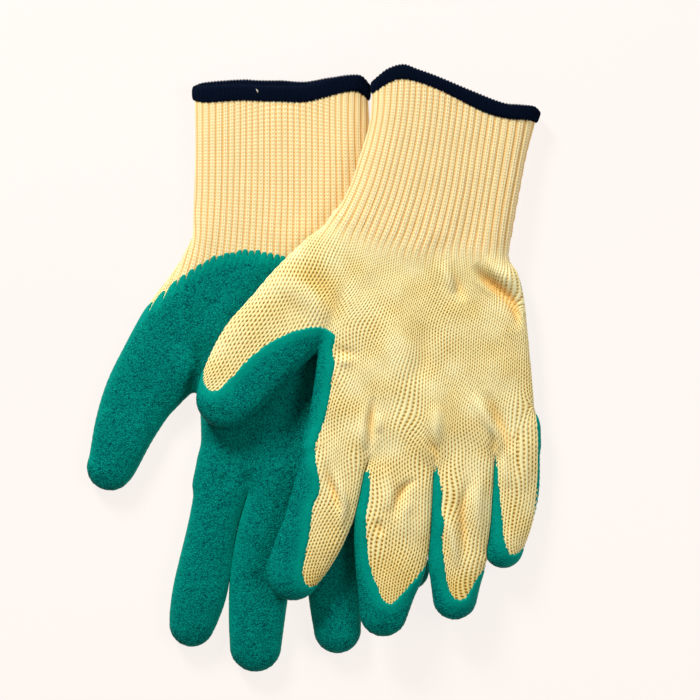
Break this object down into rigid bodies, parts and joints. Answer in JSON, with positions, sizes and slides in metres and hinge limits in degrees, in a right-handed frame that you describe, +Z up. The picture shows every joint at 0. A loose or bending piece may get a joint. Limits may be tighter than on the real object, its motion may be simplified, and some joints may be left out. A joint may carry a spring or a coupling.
{
  "type": "pair of gardening gloves",
  "caption": "Pair of knitted gardening gloves with crinkled latex palms and digits, ribbed cuffs and an overlocked hem, laid one over the other.",
  "frame": {"origin": "bottom centre of the pair as it lies, on the floor", "axes": "+Y from the fingertips towards the cuffs, +X from the thumbs towards the little fingers, +Z up"},
  "size_m": [0.2097, 0.2781, 0.0206],
  "materials": {
    "jersey_knit": "pale yellow fine plain knit with darker holes between the stitches",
    "rib_knit": "pale yellow ribbed knit with orange grooves",
    "latex_coat": "crinkled matt teal green latex",
    "hem_binding": "dark navy overlock thread",
    "elastic": "matt covered elastic"
  },
  "bodies": {
    "right_hand": {"right_cuff_knit": "rib_knit", "right_cuff_binding": "hem_binding", "right_cuff_elastic": "elastic", "right_hand_liner": "jersey_knit", "right_hand_coat": "latex_coat"},
    "right_thumb": {"right_thumb_liner": "jersey_knit", "right_thumb_coat": "latex_coat"},
    "right_index": {"right_index_liner": "jersey_knit", "right_index_coat": "latex_coat"},
    "right_middle": {"right_middle_liner": "jersey_knit", "right_middle_coat": "latex_coat"},
    "right_ring": {"right_ring_liner": "jersey_knit", "right_ring_coat": "latex_coat"},
    "right_little": {"right_little_liner": "jersey_knit", "right_little_coat": "latex_coat"},
    "left_hand": {"left_hand_liner": "jersey_knit", "left_hand_coat": "latex_coat"},
    "left_cuff": {"left_cuff_knit": "rib_knit", "left_cuff_binding": "hem_binding", "left_cuff_elastic": "elastic"},
    "left_thumb": {"left_thumb_liner": "jersey_knit", "left_thumb_coat": "latex_coat"},
    "left_index": {"left_index_liner": "jersey_knit", "left_index_coat": "latex_coat"},
    "left_middle": {"left_middle_liner": "jersey_knit", "left_middle_coat": "latex_coat"},
    "left_ring": {"left_ring_liner": "jersey_knit", "left_ring_coat": "latex_coat"},
    "left_little": {"left_little_liner": "jersey_knit", "left_little_coat": "latex_coat"}
  },
  "joints": [
    {"name": "left_glove_lift", "type": "slide", "parent": "right_hand", "child": "left_hand", "axis": [0, 0, 1], "range_m": [0, 0.12]},
    {"name": "right_thumb_bend", "type": "hinge", "parent": "right_hand", "child": "right_thumb", "pos_m": [-0.07079, 0.00145, 0.0101], "axis": [-0.8746, 0.4848, 0], "range_deg": [0, 45]},
    {"name": "right_index_bend", "type": "hinge", "parent": "right_hand", "child": "right_index", "pos_m": [-0.04367, -0.05609, 0.0101], "axis": [-0.9866, 0.1633, 0], "range_deg": [0, 65]},
    {"name": "right_middle_bend", "type": "hinge", "parent": "right_hand", "child": "right_middle", "pos_m": [-0.01834, -0.0579, 0.0101], "axis": [-0.9945, 0.1045, 0], "range_deg": [0, 25]},
    {"name": "right_ring_bend", "type": "hinge", "parent": "right_hand", "child": "right_ring", "pos_m": [0.00654, -0.0564, 0.0101], "axis": [-0.9962, -0.0872, 0], "range_deg": [0, 25]},
    {"name": "right_little_bend", "type": "hinge", "parent": "right_hand", "child": "right_little", "pos_m": [0.02912, -0.05038, 0.0101], "axis": [-0.9521, -0.3057, 0], "range_deg": [0, 25]},
    {"name": "left_thumb_bend", "type": "hinge", "parent": "left_hand", "child": "left_thumb", "pos_m": [-0.01255, 0.01949, 0.0206], "axis": [-0.7848, 0.6198, 0], "range_deg": [0, 50]},
    {"name": "left_index_bend", "type": "hinge", "parent": "left_hand", "child": "left_index", "pos_m": [0.00988, -0.04138, 0.0206], "axis": [-0.9537, 0.3007, 0], "range_deg": [0, 60]},
    {"name": "left_middle_bend", "type": "hinge", "parent": "left_hand", "child": "left_middle", "pos_m": [0.03976, -0.0434, 0.0206], "axis": [-0.9957, 0.0924, 0], "range_deg": [0, 60]},
    {"name": "left_ring_bend", "type": "hinge", "parent": "left_hand", "child": "left_ring", "pos_m": [0.07005, -0.0419, 0.01663], "axis": [-0.9835, 0.0663, 0.1684], "range_deg": [0, 60]},
    {"name": "left_little_bend", "type": "hinge", "parent": "left_hand", "child": "left_little", "pos_m": [0.0942, -0.0399, 0.0125], "axis": [-0.9835, 0.0663, 0.1684], "range_deg": [0, 60]},
    {"name": "left_wrist_bend", "type": "hinge", "parent": "left_hand", "child": "left_cuff", "pos_m": [0.03296, 0.0657, 0.0206], "axis": [0.9758, -0.2188, 0], "range_deg": [0, 50]}
  ],
  "couplings": [
    {"joint": "right_middle_bend", "follows": "left_glove_lift", "rad_per_m": 3.6325},
    {"joint": "right_ring_bend", "follows": "left_glove_lift", "rad_per_m": 3.6325},
    {"joint": "right_little_bend", "follows": "left_glove_lift", "rad_per_m": 3.6325}
  ]
}
